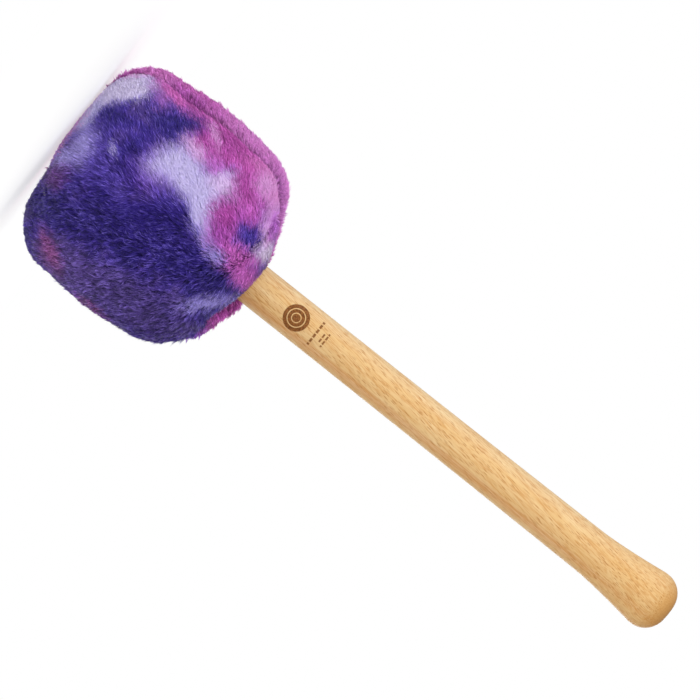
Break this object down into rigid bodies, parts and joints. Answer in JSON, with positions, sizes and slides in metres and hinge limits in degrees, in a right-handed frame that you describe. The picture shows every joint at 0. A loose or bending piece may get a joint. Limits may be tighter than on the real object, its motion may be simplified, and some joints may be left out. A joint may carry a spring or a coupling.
{
  "type": "gong mallet",
  "caption": "Soft gong mallet: turned beech handle with a flared rounded end, and a drum-shaped head padded over a wooden core and covered in tie-dyed plush.",
  "frame": {"origin": "centre of the flat end of the head, on the plane it stands on", "axes": "+Z along the handle's axis towards its rounded end; -Y towards the side with the burned mark; the seam plane is turned 25 degrees about Z"},
  "size_m": [0.1186, 0.1186, 0.376],
  "materials": {
    "beech": "satin",
    "core_wood": "matte",
    "steel": "satin",
    "felt": "matte",
    "foam": "matte",
    "lining": "matte",
    "cord": "matte",
    "plush_front": "matte",
    "plush_back": "matte",
    "thread": "matte"
  },
  "bodies": {
    "root": {"handle": "beech", "head_core": "core_wood", "core_screw": "steel", "core_washer": "steel", "felt_wrap": "felt", "foam_sleeve": "foam", "foam_end_pad": "foam", "foam_neck_ring": "foam", "lining_bag": "lining", "hem_drawcord": "cord", "cover_front_panel": "plush_front", "cover_back_panel": "plush_back", "seam_thread": "thread"}
  },
  "joints": []
}
